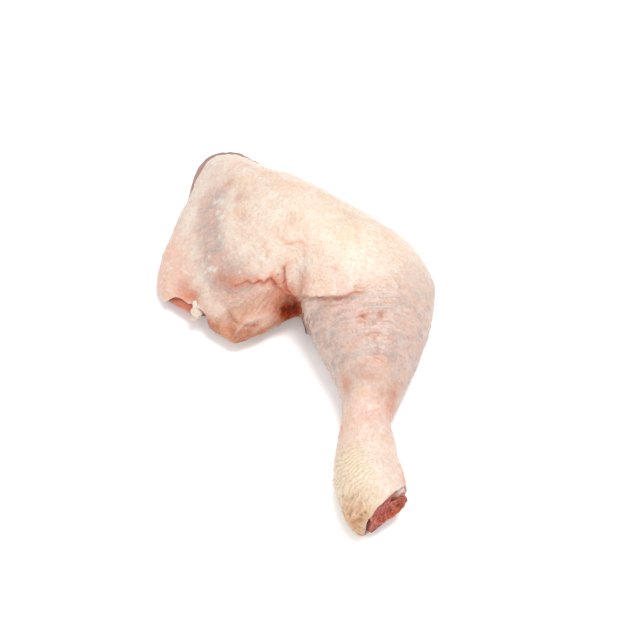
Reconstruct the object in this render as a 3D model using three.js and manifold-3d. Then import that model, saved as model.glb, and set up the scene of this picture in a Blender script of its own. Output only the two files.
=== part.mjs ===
// A raw chicken leg quarter with its skin on: thigh and drumstick in one piece, bent at the knee.
// It lies as on a table, outer side up. Millimetres, +Z up, the drumstick pointing to -Y.
// The skin is a thin jacket round a core of flesh. The shin bone shows where the hock is cut through,
// and the flesh shows there, at the back of the thigh and underneath, where no skin covers it.

import * as THREE from "three";
import Module from "manifold-3d";
import { mergeVertices } from "three/addons/utils/BufferGeometryUtils.js";

const wasm = await Module();
wasm.setup();
const { clamp, degToRad, smoothstep } = THREE.MathUtils;
const vector = (p) => new THREE.Vector3(...p);

// ---- Sections of the leg, from the free end of the thigh, round the knee, to the hock ----
// near is the edge on the crook's side and far the edge on the outside, [x, y] from the crook's centre.
// crown is the height of the section, base its lowest point before it settles on the table.

function kneeSection(degrees, hollow, reach, crown, base) {
  const angle = degToRad(degrees);
  const at = (radius) => [radius * Math.cos(angle), radius * Math.sin(angle)];
  return { near: at(hollow), far: at(reach), crown, base };
}

function legSection(y, left, right, crown, base) {
  return { near: [left, y], far: [right, y], crown, base };
}

const SECTIONS = [
  { near: [-69, 26], far: [-52.5, 79], crown: 11, base: -1 }, // flat skin and meat off the back
  { near: [-50.5, 14.5], far: [-40.5, 96.5], crown: 20, base: -2 }, // hip
  { near: [-34, 11.5], far: [-27, 93], crown: 35.5, base: -2.5 }, // thigh muscle
  { near: [-17, 12], far: [-13, 82.5], crown: 43, base: -2.5 },
  kneeSection(90, 12, 76, 45.5, -2), // thickest part of the thigh
  kneeSection(65, 5.5, 64.5, 45, -1.5),
  kneeSection(40, 3.5, 65.5, 43, -1),
  kneeSection(18, 3.5, 65.5, 41, -0.6), // kneecap
  kneeSection(0, 4.5, 60.5, 40.5, -0.5),
  legSection(-13, 10.5, 56.5, 41, -0.5), // calf
  legSection(-31, 18.5, 48, 35, -0.4),
  legSection(-45, 19.5, 41.5, 27, -0.3), // shank
  legSection(-58, 17, 43, 24, -0.3),
  legSection(-74, 15.5, 46.5, 25, -0.4), // hock
  legSection(-85, 18, 48.5, 25, -0.4),
  legSection(-94, 22, 50, 22, -0.3),
  legSection(-99, 29, 50, 19, -0.2), // heel
  legSection(-106, 40, 52, 14, 0), // past the cut
];
const LAST = SECTIONS.length - 1;

const WAIST = 0.42; // height of a section's widest line, as a share of the height of its crown
const TOP_POWER = 2.15; // roundness of a section above its widest line: 2 is an ellipse
const BASE_POWER = 2.9; // and below it, where the meat settles flat on the table
const END_POWER = 4; // squareness of the thigh's free end

// ---- Bulges and creases that the plain sections leave out ----

// Each moves the surface by push at the point at, and fades out over size along each axis.
const BULGES = [
  { at: [-23.5, 8, 5], size: [18, 15, 10], push: [0, -16.5, 0] }, // loose skin below the groin
  { at: [-28, 9, 4], size: [9, 8, 9], push: [-1, -2.4, 0] }, // its lowest tip
  { at: [-51, 20, 4], size: [10, 12, 8], push: [-3, -1, 0] }, // corner of the flat end
  { at: [-33, 85, 16], size: [12, 12, 14], push: [-4, 1.5, 0] }, // corner of the hip
];

// Each is a groove along a line of points. The side that the lip points to stands higher than the other.
const CREASES = [
  { // groin, where the loose skin folds under the thigh
    line: [[-33, 15.5, 25], [-19, 16, 29], [-15.5, 17, 31.5], [-9.5, 16.5, 31.5], [-6, 16, 30]],
    depth: 2.6, width: 4, lip: [0, 0.8, 0.6], rise: 1.4,
  },
  { // from the groin down into the crook
    line: [[-12, 17.5, 32], [-7.5, 15, 29], [-0.5, 12, 23], [0.5, 11, 17], [0.5, 8, 9]],
    depth: 3.2, width: 4.2, lip: [1, 0, 0.5], rise: 1,
  },
  { // across the front of the knee
    line: [[-2, 12, 24], [6, 5.5, 32], [13, 2.5, 35], [21, 1.5, 39], [30, 3.5, 40.5]],
    depth: 2.4, width: 3.6, lip: [0, 1, 0], rise: 1.6,
  },
];
const LIP_REACH = 2.5; // how far a lip spreads, in widths of its crease
const CREASE_STEPS = 24;

// ---- Skin, flesh, bone and cuts ----

const SKIN = 1.9; // thickness of skin and the fat under it
const HEEL_PAD = { at: [25, -97, 9], size: [8, 8, 8], thickness: 4 }; // more of it over the heel
const CLEARANCE = 0.35; // gap between pieces that touch

// The skin ends at this height above the table, and below it the flesh is bare.
const SKIN_EDGE = {
  front: 3, // along the side of the thigh that faces the crook
  back: 22, // how much higher at the back of the thigh,
  hip: 13, // less this much at the free end
  femur: { middle: [-46, 46], degrees: -17.3, from: 6, to: 24 }, // the back begins this far past it
  hipEnd: [26, 50],
  window: { middle: [-49.5, 13.2], degrees: -35.4, length: 13, width: 7, height: 11 }, // cut at the hip
  crook: { middle: [2, 6], degrees: 0, length: 6.5, width: 7, height: 10 },
  jacket: { from: 10, to: 34, drop: 60 }, // the skin goes all round the drumstick
};

const BARE_RECESS = 0.7; // bare flesh lies this far inside the outline of the skin,
const BARE_UNEVEN = [ // and further in, or out, near these points
  { at: [-41.5, 7, 8], size: [6, 6, 8], depth: 4 }, // under the loose skin
  { at: [-54, 15, 3], size: [10, 8, 8], depth: 3.2 }, // under the window
  { at: [-42, 88, 13], size: [13, 11, 16], depth: -2.6 }, // at the corner of the hip
  { at: [-12, 86, 18], size: [16, 12, 12], depth: -1.2 }, // along the back of the thigh
  { at: [16, 70, 20], size: [18, 10, 12], depth: -1.2 },
  { at: [1, 9, 5], size: [6, 6, 8], depth: 2.5 }, // in the crook
];

// The cut through the hock. The skin overhangs at the top, the flesh has drawn back into it,
// and the bone's end stands out and faces a little upwards.
const HOCK_CUT = {
  skin: { normal: [0.7, -0.7, -0.08], through: [35.2, -91.7, 22] },
  flesh: { normal: [0.68, -0.73, 0.05], through: [36.9, -90, 15] },
  bone: { normal: [0.57, -0.76, 0.3], through: [40.2, -88.6, 11] },
};
const SHIN_BONE = {
  line: [[45.6, -103.6, 11], [40.1, -88.6, 11], [34, -70, 11], [31, -45, 12], [32, -20, 16], [32, 2, 19.5]],
  hock: { across: 8.5, up: 4.9 }, // half sizes at its two ends and between them
  shaft: { across: 4.6, up: 4.6 },
  knee: { across: 9.5, up: 9.5 },
};
const SHRED = {
  line: [[-46.5, 15, 14.8], [-45.6, 12.3, 12], [-46.2, 10.6, 9], [-48.4, 10.6, 6.4]],
  across: 2.3, // half sizes
  up: 1.9,
  ripple: 0.18,
};

const OUTER_MESH = { rings: 78, sides: 42 };
const INNER_MESH = { rings: 44, sides: 24, widen: 1.6 };

// ---- The outer surface ----

const curveThrough = (points) => new THREE.CatmullRomCurve3(points, false, "catmullrom", 0.5);
const nearEdge = curveThrough(SECTIONS.map((s) => vector([...s.near, s.base])));
const farEdge = curveThrough(SECTIONS.map((s) => vector([...s.far, s.crown])));
const creasePoints = CREASES.map(({ line }) => curveThrough(line.map(vector)).getPoints(CREASE_STEPS));

// 1 at the point at, fading out over size along each axis.
function bump(point, { at, size }) {
  return Math.exp(-point.clone().sub(vector(at)).divide(vector(size)).lengthSq());
}

function signedPower(x, power) {
  return Math.sign(x) * Math.abs(x) ** power;
}

// How far a section is shrunk towards its middle: only the thigh's free end is rounded off.
function endScale(place) {
  const fromEnd = Math.min(place, 1);
  return (1 - (1 - fromEnd) ** END_POWER) ** (1 / END_POWER);
}

function bulgeAt(point) {
  const sum = new THREE.Vector3();
  for (const bulge of BULGES) sum.addScaledVector(vector(bulge.push), bump(point, bulge));
  return sum;
}

// The height that the creases add at a point, mostly negative. Widened creases suit a coarser mesh.
function creaseAt(point, widen) {
  let sum = 0;
  CREASES.forEach(({ depth, width, lip, rise }, k) => {
    const points = creasePoints[k];
    let nearest = 0;
    points.forEach((p, i) => {
      if (p.distanceToSquared(point) < points[nearest].distanceToSquared(point)) nearest = i;
    });
    const offset = point.clone().sub(points[nearest]).divideScalar(width * widen);
    const fade = Math.sin(Math.PI * clamp((nearest + 2) / CREASE_STEPS, 0, 1)) ** 0.5;
    const side = clamp(offset.dot(vector(lip).normalize()), -1, 1);
    const away = offset.lengthSq();
    sum += fade * (rise * side * Math.exp(-away / LIP_REACH ** 2) - depth * Math.exp(-away));
  });
  return sum;
}

// A point of the outer surface: place runs over the sections, and around from 0 to 1 round each one,
// from the far edge over the crown to the near edge, and back underneath.
function outerPoint(place, around, widen) {
  const near = nearEdge.getPoint(place / LAST);
  const far = farEdge.getPoint(place / LAST);
  const [base, crown] = [near.z, far.z];
  const waist = base + (crown - base) * WAIST;
  near.z = far.z = waist;
  const middle = near.clone().lerp(far, 0.5);
  const angle = around * 2 * Math.PI;
  const power = Math.sin(angle) > 0 ? 2 / TOP_POWER : 2 / BASE_POWER;
  const sideways = signedPower(Math.cos(angle), power);
  const upwards = signedPower(Math.sin(angle), power);
  const scale = endScale(place);
  const point = middle.clone().addScaledVector(far.clone().sub(near), (sideways * scale) / 2);
  point.z += scale * upwards * (upwards > 0 ? crown - waist : waist - base);
  const outward = point.clone().sub(middle).normalize();
  return point.add(bulgeAt(point)).addScaledVector(outward, creaseAt(point, widen));
}

// The outward unit normal of the outer surface, from small steps along and around.
function outerNormal(place, around, widen) {
  const STEP = 0.004;
  const FROM_END = 0.02;
  const inside = clamp(place, FROM_END, LAST - FROM_END);
  const along = outerPoint(inside + STEP, around, widen).sub(outerPoint(inside - STEP, around, widen));
  const across = outerPoint(inside, around + STEP, widen).sub(outerPoint(inside, around - STEP, widen));
  return across.cross(along).normalize();
}

// ---- From surfaces to solids ----

// A closed mesh of rings between two end points. pointAt(ring, side) gives each point.
function closedRings(rings, sides, pointAt) {
  const positions = [];
  const index = [];
  const add = (p) => positions.push(p.x, p.y, p.z) / 3 - 1;
  const first = add(pointAt(0, 0));
  const grid = [];
  for (let i = 1; i < rings; i++) {
    grid.push(Array.from({ length: sides }, (_, j) => add(pointAt(i, j))));
  }
  const last = add(pointAt(rings, 0));
  for (let j = 0; j < sides; j++) {
    const next = (j + 1) % sides;
    index.push(first, grid[0][next], grid[0][j]);
    index.push(last, grid.at(-1)[j], grid.at(-1)[next]);
    for (let i = 0; i + 1 < grid.length; i++) {
      index.push(grid[i][j], grid[i][next], grid[i + 1][j]);
      index.push(grid[i][next], grid[i + 1][next], grid[i + 1][j]);
    }
  }
  const geometry = new THREE.BufferGeometry();
  geometry.setAttribute("position", new THREE.Float32BufferAttribute(positions, 3));
  geometry.setIndex(index);
  return geometry;
}

function solidFrom(geometry) {
  const bare = geometry.clone();
  bare.deleteAttribute("normal");
  bare.deleteAttribute("uv");
  const merged = mergeVertices(bare);
  const mesh = new wasm.Mesh({
    numProp: 3,
    vertProperties: merged.attributes.position.array,
    triVerts: new Uint32Array(merged.index.array),
  });
  return new wasm.Manifold(mesh);
}

// Section places for rings at even distances along a line between the two edges.
function ringPlaces(count) {
  const TOWARDS_FAR = 0.62;
  const spine = curveThrough(
    SECTIONS.map((s) => vector([...s.near, 0]).lerp(vector([...s.far, 0]), TOWARDS_FAR)));
  return Array.from({ length: count + 1 }, (_, i) => spine.getUtoTmapping(i / count) * LAST);
}

// Where side j of a ring lies round the section. Sides are closer together near the creases.
function sideAround(j, sides) {
  const CREASED = 0.42;
  const CROWDING = 0.5;
  const turn = j / sides;
  return turn - (CROWDING / (2 * Math.PI)) * Math.sin(2 * Math.PI * (turn - CREASED));
}

// The leg's whole body, drawn in by depthAt(point). It rests on z = 0.
function bodySolid({ rings, sides, widen = 1 }, depthAt) {
  const places = ringPlaces(rings);
  const geometry = closedRings(rings, sides, (i, j) => {
    const [place, around] = [places[i], sideAround(j, sides)];
    const point = outerPoint(place, around, widen);
    const depth = depthAt(point);
    if (depth !== 0) point.addScaledVector(outerNormal(place, around, widen), -depth);
    point.z = Math.max(point.z, 0);
    return point;
  });
  return solidFrom(geometry);
}

// ---- Depths and cuts ----

function skinDepth(point) {
  return SKIN + HEEL_PAD.thickness * bump(point, HEEL_PAD);
}

function bareDepth(point) {
  return BARE_UNEVEN.reduce((depth, place) => depth + place.depth * bump(point, place), BARE_RECESS);
}

// The point (x, y) seen from middle, with the first axis turned by degrees.
function turned(x, y, { middle, degrees }) {
  const at = new THREE.Vector2(x - middle[0], y - middle[1]);
  return at.rotateAround(new THREE.Vector2(), -degToRad(degrees));
}

function skinEdgeHeight(x, y) {
  const { front, back, hip, femur, hipEnd, window, crook, jacket } = SKIN_EDGE;
  const pastFemur = smoothstep(turned(x, y, femur).y, femur.from, femur.to);
  const atBack = pastFemur * (back - hip * smoothstep(-x, ...hipEnd));
  const inWindow = turned(x, y, window);
  const atWindow = Math.exp(-((inWindow.x / window.length) ** 4) - (inWindow.y / window.width) ** 2);
  const inCrook = turned(x, y, crook);
  const atCrook = Math.exp(-((inCrook.x / crook.length) ** 2) - (inCrook.y / crook.width) ** 2);
  const allRound = smoothstep(x, jacket.from, jacket.to) * jacket.drop;
  return front + atBack + window.height * atWindow + crook.height * atCrook - allRound;
}

// Everything below the skin's edge, lowered by drop.
function bareRegion(drop) {
  const [WIDTH, DEPTH, BOTTOM, CELL] = [180, 240, -60, 4];
  const block = new THREE.BoxGeometry(WIDTH, DEPTH, 1, WIDTH / CELL, DEPTH / CELL, 1);
  const position = block.attributes.position;
  for (let i = 0; i < position.count; i++) {
    const top = Math.max(skinEdgeHeight(position.getX(i), position.getY(i)) - drop, BOTTOM + 1);
    position.setZ(i, position.getZ(i) > 0 ? top : BOTTOM);
  }
  return solidFrom(block);
}

// Everything beyond a cut.
function beyond({ normal, through }) {
  const SIZE = 120;
  const block = new THREE.BoxGeometry(SIZE, SIZE, SIZE);
  block.translate(0, 0, SIZE / 2);
  block.applyQuaternion(
    new THREE.Quaternion().setFromUnitVectors(vector([0, 0, 1]), vector(normal).normalize()));
  block.translate(...through);
  return solidFrom(block);
}

// ---- The pieces ----

// The shin bone, from its cut end at the hock to the knee, larger all round by grow.
function boneSolid(grow) {
  const [RINGS, SIDES] = [20, 18];
  const line = curveThrough(SHIN_BONE.line.map(vector));
  const { hock, shaft, knee } = SHIN_BONE;
  const geometry = closedRings(RINGS, SIDES, (i, j) => {
    const u = i / RINGS;
    if (i === 0 || i === RINGS) return line.getPointAt(u);
    const atHock = 1 - smoothstep(u, 0.12, 0.42);
    const atKnee = smoothstep(u, 0.75, 0.93);
    const half = (axis) =>
      grow + shaft[axis] + (hock[axis] - shaft[axis]) * atHock + (knee[axis] - shaft[axis]) * atKnee;
    const angle = (j / SIDES) * 2 * Math.PI;
    const along = line.getTangentAt(u).setZ(0).normalize();
    const side = vector([-along.y, along.x, 0]);
    const offset = side.multiplyScalar(half("across") * Math.cos(angle));
    offset.z = half("up") * Math.sin(angle);
    return line.getPointAt(u).add(offset);
  });
  return solidFrom(geometry);
}

// A shred of white fat that hangs at the window in the hip, larger all round by grow.
function shredSolid(grow) {
  const [RINGS, SIDES, BLUNTNESS, WAVES] = [10, 10, 0.45, 2.4];
  const line = curveThrough(SHRED.line.map(vector));
  const geometry = closedRings(RINGS, SIDES, (i, j) => {
    const u = i / RINGS;
    if (i === 0 || i === RINGS) return line.getPointAt(u);
    const angle = (j / SIDES) * 2 * Math.PI;
    const round = Math.sin(Math.PI * u) ** BLUNTNESS * (1 + SHRED.ripple * Math.cos(WAVES * 2 * Math.PI * u));
    const across = (SHRED.across * round + grow) * Math.cos(angle);
    const up = (SHRED.up * round + grow) * Math.sin(angle);
    return line.getPointAt(u).add(vector([across, -up, 0]));
  });
  return solidFrom(geometry);
}

const skin = bodySolid(OUTER_MESH, () => 0)
  .subtract(bodySolid(INNER_MESH, skinDepth))
  .subtract(bareRegion(0))
  .subtract(beyond(HOCK_CUT.skin))
  .subtract(shredSolid(CLEARANCE));

const covered = bodySolid(INNER_MESH, (point) => skinDepth(point) + CLEARANCE);
const bare = bodySolid(INNER_MESH, bareDepth).intersect(bareRegion(CLEARANCE));
const flesh = covered
  .add(bare)
  .subtract(beyond(HOCK_CUT.flesh))
  .subtract(boneSolid(CLEARANCE))
  .subtract(shredSolid(CLEARANCE));

const bone = boneSolid(0).subtract(beyond(HOCK_CUT.bone));

// ---- The group ----

function meshOf(name, solid, color, roughness) {
  const mesh = solid.getMesh();
  const geometry = new THREE.BufferGeometry();
  geometry.setAttribute("position", new THREE.BufferAttribute(mesh.vertProperties, 3));
  geometry.setIndex(new THREE.BufferAttribute(mesh.triVerts, 1));
  geometry.computeVertexNormals();
  const material = new THREE.MeshStandardMaterial({ color, roughness, metalness: 0 });
  const made = new THREE.Mesh(geometry, material);
  made.name = name;
  return made;
}

const leg = new THREE.Group();
leg.add(
  meshOf("skin", skin, "#ecd6c6", 0.45),
  meshOf("flesh", flesh, "#b5625a", 0.4),
  meshOf("shin_bone", bone, "#c4766e", 0.5),
  meshOf("fat_shred", shredSolid(0), "#efe3d2", 0.5),
);

// The origin is on the table, under the middle of the leg.
const bounds = new THREE.Box3().setFromObject(leg);
const middle = bounds.getCenter(new THREE.Vector3());
for (const mesh of leg.children) mesh.position.set(-middle.x, -middle.y, -bounds.min.z);

export default leg;
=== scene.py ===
# A raw chicken leg quarter on a pale table, skin side up, seen from the hock's side.
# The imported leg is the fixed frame, and each piece here stands for one of its nodes. The leg's sections,
# bulges and cuts are repeated below, in millimetres from the crook of the knee. Its creases are drawn
# narrower and shallower than in the solids.

import math

import bpy
import numpy as np
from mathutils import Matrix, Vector


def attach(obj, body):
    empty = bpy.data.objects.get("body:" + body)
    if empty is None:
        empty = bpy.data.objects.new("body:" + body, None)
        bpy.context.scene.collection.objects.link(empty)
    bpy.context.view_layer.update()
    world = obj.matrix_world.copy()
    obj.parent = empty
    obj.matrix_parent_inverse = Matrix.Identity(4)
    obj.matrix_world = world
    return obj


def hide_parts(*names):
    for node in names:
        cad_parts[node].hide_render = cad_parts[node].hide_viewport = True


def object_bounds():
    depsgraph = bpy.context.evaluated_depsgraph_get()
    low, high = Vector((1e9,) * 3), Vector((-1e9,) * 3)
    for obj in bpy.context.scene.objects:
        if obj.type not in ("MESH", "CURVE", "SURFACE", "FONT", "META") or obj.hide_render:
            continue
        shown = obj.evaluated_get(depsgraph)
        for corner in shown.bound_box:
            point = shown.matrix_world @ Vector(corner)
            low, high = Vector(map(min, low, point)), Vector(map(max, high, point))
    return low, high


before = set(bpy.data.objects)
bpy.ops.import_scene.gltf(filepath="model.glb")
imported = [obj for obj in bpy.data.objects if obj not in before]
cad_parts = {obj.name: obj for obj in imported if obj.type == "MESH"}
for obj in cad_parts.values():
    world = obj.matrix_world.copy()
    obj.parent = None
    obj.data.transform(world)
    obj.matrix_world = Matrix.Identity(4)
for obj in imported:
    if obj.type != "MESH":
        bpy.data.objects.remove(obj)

CAD_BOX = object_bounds()
MM = 0.001
CROOK = np.array([1.004, 0.41, 0.0])  # where the crook's centre lies in the frame
LOW, HIGH = (np.array(v) / MM - CROOK for v in CAD_BOX)


# ---- Noise ----

POSITIVE = 1000.5  # added to places so that no cell number is below 0


def lattice(cell, seed):
    """A repeatable random number in 0..1 for each whole-numbered cell (..., 3)."""
    c = cell.astype(np.int64)
    n = c[..., 0] * 374761393 + c[..., 1] * 668265263 + c[..., 2] * 1274126177 + seed * 97531
    n = (n ^ (n >> 13)) & 0xFFFFFFFF
    n = (n * 1274126177) & 0xFFFFFFFF
    n = (n ^ (n >> 16)) & 0xFFFFFFFF
    n = (n * 2246822519) & 0xFFFFFFFF
    return ((n ^ (n >> 15)) & 0xFFFFFF) / 0xFFFFFF


def noise(p, size, seed=0):
    """Smooth noise in -1..1 with blobs of about the given size, one number or one per axis."""
    q = p / np.asarray(size, float) + POSITIVE
    low = np.floor(q)
    f = q - low
    f = f * f * f * (f * (f * 6 - 15) + 10)
    total = 0
    for corner in np.ndindex(2, 2, 2):
        share = np.prod(np.where(corner, f, 1 - f), axis=-1)
        total = total + share * lattice(low + corner, seed)
    return total * 2 - 1


def fractal(p, size, seed=0, octaves=3, gain=0.5):
    """Noise with finer and weaker noise on it."""
    size = np.asarray(size, float)
    return sum(gain ** k * noise(p, size / 2 ** k, seed + 17 * k) for k in range(octaves))


def ridged(p, size, seed=0, octaves=2):
    """Sharp ridges, 1 on their tops and falling to about 0."""
    size = np.asarray(size, float)
    layers = [0.5 ** k * (1 - 2 * np.abs(noise(p, size / 2 ** k, seed + 31 * k))) for k in range(octaves)]
    return sum(layers) / 1.5


def cells(p, size, seed=0):
    """Distance to the nearest of the points scattered one to a cell, in cells, and that point's number."""
    FARTHEST = 9.0
    q = p / np.asarray(size, float) + POSITIVE
    low = np.floor(q)
    best = np.full(q.shape[:-1], FARTHEST)
    number = np.zeros(q.shape[:-1])
    for step in np.ndindex(3, 3, 3):
        cell = low + np.array(step) - 1
        place = cell + np.stack([lattice(cell, seed + k) for k in (1, 2, 3)], -1)
        away = ((place - q) ** 2).sum(-1)
        near = away < best
        best = np.where(near, away, best)
        number = np.where(near, lattice(cell, seed + 4), number)
    return np.sqrt(best), number


def smoothstep(x, low, high):
    t = np.clip((x - low) / (high - low), 0, 1)
    return t * t * (3 - 2 * t)


def bump(p, at, size):
    """1 at the point at, fading out over size, one number or one per axis."""
    return np.exp(-(((p - np.array(at, float)) / np.asarray(size, float)) ** 2).sum(-1))


# ---- The leg's form, as in the solids but for the differences noted ----

# Each section is near edge x, y; far edge x, y; height of the crown; height of the base.

def knee_section(degrees, hollow, reach, crown, base):
    turn = np.array([math.cos(math.radians(degrees)), math.sin(math.radians(degrees))])
    return [*(hollow * turn), *(reach * turn), crown, base]


def leg_section(y, left, right, crown, base):
    return [left, y, right, y, crown, base]


SECTIONS = np.array([
    [-69, 26, -52.5, 79, 11, -1],  # flat skin and meat off the back
    [-50.5, 14.5, -40.5, 96.5, 20, -2],  # hip
    [-34, 11.5, -27, 93, 35.5, -2.5],  # thigh muscle
    [-17, 12, -13, 82.5, 43, -2.5],
    knee_section(90, 12, 76, 45.5, -2),  # thickest part of the thigh
    knee_section(65, 5.5, 64.5, 45, -1.5),
    knee_section(40, 3.5, 65.5, 43, -1),
    knee_section(18, 3.5, 65.5, 41, -0.6),  # kneecap
    knee_section(0, 4.5, 60.5, 40.5, -0.5),
    leg_section(-13, 10.5, 56.5, 41, -0.5),  # calf
    leg_section(-31, 18.5, 48, 35, -0.4),
    leg_section(-45, 19.5, 41.5, 27, -0.3),  # shank
    leg_section(-58, 17, 43, 24, -0.3),
    leg_section(-74, 15.5, 46.5, 25, -0.4),  # hock
    leg_section(-85, 18, 48.5, 25, -0.4),
    leg_section(-94, 22, 50, 22, -0.3),
    leg_section(-99, 29, 50, 19, -0.2),  # heel
    leg_section(-106, 40, 52, 14, 0),  # past the cut
])
LAST = len(SECTIONS) - 1
WAIST = 0.42
TOP_POWER = 2.15
BASE_POWER = 2.9
END_POWER = 4

BULGES = [
    dict(at=(-23.5, 8, 5), size=(18, 15, 10), push=(0, -16.5, 0)),  # loose skin below the groin
    dict(at=(-28, 9, 4), size=(9, 8, 9), push=(-1, -2.4, 0)),  # its lowest tip
    dict(at=(-51, 20, 4), size=(10, 12, 8), push=(-3, -1, 0)),  # corner of the flat end
    dict(at=(-33, 85, 16), size=(12, 12, 14), push=(-4, 1.5, 0)),  # corner of the hip
    # The solids leave out these three small ones.
    dict(at=(2, 3, 13), size=(4, 6, 8), push=(1.5, 0, 0)),  # the drumstick, in the crook
    dict(at=(3.6, -0.5, 12), size=(3, 4, 6), push=(1.2, 0, 0)),  # its lowest fold
    dict(at=(-5, 8, 7), size=(8, 6, 7), push=(0, -2.2, 0)),  # the loose skin beside it
]

SKIN = 1.9  # how thick the skin is
HEEL_PAD = dict(at=(25, -97, 9), size=(8, 8, 8), thickness=4)
CLEARANCE = 0.35  # between the skin and the flesh
BARE_RECESS = 0.7  # how far the bare flesh lies below the skin's surface
BARE_UNEVEN = [
    dict(at=(-41.5, 7, 8), size=(6, 6, 8), depth=4),  # under the loose skin
    dict(at=(-54, 15, 3), size=(10, 8, 8), depth=3.2),  # under the window
    dict(at=(-42, 88, 13), size=(13, 11, 16), depth=-2.6),  # at the corner of the hip
    # The solids have this one 8 mm further from the hip and 0.5 mm weaker.
    dict(at=(-20, 88, 20), size=(16, 12, 12), depth=-1.7),  # along the back of the thigh
    dict(at=(16, 70, 20), size=(18, 10, 12), depth=-1.2),
    dict(at=(1, 9, 5), size=(6, 6, 8), depth=2.5),  # in the crook
]

# The cuts through the hock, as in the solids.
SKIN_CUT = dict(normal=(0.7, -0.7, -0.08), through=(35.2, -91.7, 22))
FLESH_CUT = dict(normal=(0.68, -0.73, 0.05), through=(36.9, -90, 15))
BONE_CUT = dict(normal=(0.57, -0.76, 0.3), through=(40.2, -88.6, 11))


def unit(v):
    return np.array(v, float) / np.linalg.norm(v)


def past(p, cut):
    """How far beyond a cut a point lies."""
    return (p - np.array(cut["through"])) @ unit(cut["normal"])


def catmull_rom(points, t):
    """A Catmull-Rom curve with tension 0.5 through points (n, k), at t in 0..1."""
    n = len(points)
    at = t * (n - 1)
    i = np.clip(np.floor(at).astype(int), 0, n - 2)
    w = (at - i)[..., None]
    padded = np.vstack([2 * points[0] - points[1], points, 2 * points[-1] - points[-2]])
    before, a, b, after = padded[i], padded[i + 1], padded[i + 2], padded[i + 3]
    start = (b - before) / 2
    end = (after - a) / 2
    return a + start * w + (3 * (b - a) - 2 * start - end) * w ** 2 + (2 * (a - b) + start + end) * w ** 3


def signed_power(x, power):
    return np.sign(x) * np.abs(x) ** power


def body(place, around):
    """Points of the smooth outer surface. place runs over the sections, around from 0 to 1 round each."""
    edges = catmull_rom(SECTIONS, place / LAST)
    crown, base = edges[..., 4], edges[..., 5]
    waist = base + (crown - base) * WAIST
    near = np.stack([edges[..., 0], edges[..., 1], waist], -1)
    far = np.stack([edges[..., 2], edges[..., 3], waist], -1)
    angle = around * 2 * np.pi
    power = np.where(np.sin(angle) > 0, 2 / TOP_POWER, 2 / BASE_POWER)
    sideways = signed_power(np.cos(angle), power)
    upwards = signed_power(np.sin(angle), power)
    scale = (1 - (1 - np.clip(place, 0, 1)) ** END_POWER) ** (1 / END_POWER)
    point = (near + far) / 2 + (far - near) * (sideways * scale / 2)[..., None]
    point[..., 2] += scale * upwards * np.where(upwards > 0, crown - waist, waist - base)
    pushes = sum(bump(point, b["at"], b["size"])[..., None] * np.array(b["push"], float) for b in BULGES)
    return point + pushes


def ring_places(count):
    """Section places for rings at even distances along the leg."""
    TOWARDS_FAR = 0.62
    STEPS = 4000
    t = np.linspace(0, 1, STEPS + 1)
    edges = catmull_rom(SECTIONS, t)
    spine = edges[:, 0:2] * (1 - TOWARDS_FAR) + edges[:, 2:4] * TOWARDS_FAR
    length = np.r_[0, np.cumsum(np.linalg.norm(np.diff(spine, axis=0), axis=1))]
    return np.interp(np.linspace(0, length[-1], count + 1), length, t) * LAST


def even_sides(place, sides):
    """Side positions for one ring, even in length, and closer on the upper side, which shows most."""
    UPPER_SIDE_ENDS = 0.55  # as a share of the way round
    UNDERSIDE_WEIGHT = 0.55
    STEPS = 1440
    around = np.linspace(0, 1, STEPS + 1)
    loop = body(np.full(around.shape, place), around)
    middle = (around[1:] + around[:-1]) / 2
    weight = np.where(middle < UPPER_SIDE_ENDS, 1, UNDERSIDE_WEIGHT)
    length = np.r_[0, np.cumsum(np.linalg.norm(np.diff(loop, axis=0), axis=1) * weight)]
    return np.interp(np.arange(sides) / sides * length[-1], length, around)


def grid_normals(points):
    """Outward unit normals of a grid of rings."""
    along = np.gradient(points, axis=0)
    across = np.roll(points, -1, axis=1) - np.roll(points, 1, axis=1)
    normal = np.cross(across, along)
    return normal / (np.linalg.norm(normal, axis=-1, keepdims=True) + 1e-12)


def leg_grid(rings, sides):
    """The smooth outer surface as a grid of rings, with normals, from just inside the free end."""
    FIRST = 0.0004
    places = ring_places(rings)
    places[0] = FIRST
    place = np.repeat(places[:, None], sides, axis=1)
    around = np.stack([even_sides(p, sides) for p in places])
    point = body(place, around)
    return point, grid_normals(point)


# ---- Where the flesh is bare: as in the solids, but the skin's edge rises less in the crook ----

def turned(p, middle, degrees):
    """Places in the plan along and across a turned direction, from a middle."""
    x, y = p[..., 0] - middle[0], p[..., 1] - middle[1]
    c, s = math.cos(math.radians(degrees)), math.sin(math.radians(degrees))
    return x * c + y * s, -x * s + y * c


def skin_edge_height(p):
    """The height at which the skin ends. The flesh below it is bare."""
    past_femur = smoothstep(turned(p, (-46, 46), -17.3)[1], 6, 24)
    at_back = past_femur * (22 - 13 * smoothstep(-p[..., 0], 26, 50))
    along, across = turned(p, (-49.5, 13.2), -35.4)
    window = 11 * np.exp(-(along / 13) ** 4 - (across / 7) ** 2)
    x, y = turned(p, (2, 6), 0)
    crook = 4 * np.exp(-(x / 6.5) ** 2 - (y / 7) ** 2)
    jacket = 60 * smoothstep(p[..., 0], 10, 34)
    return 3 + at_back + window + crook - jacket


# ---- Creases and wrinkles ----

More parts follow.
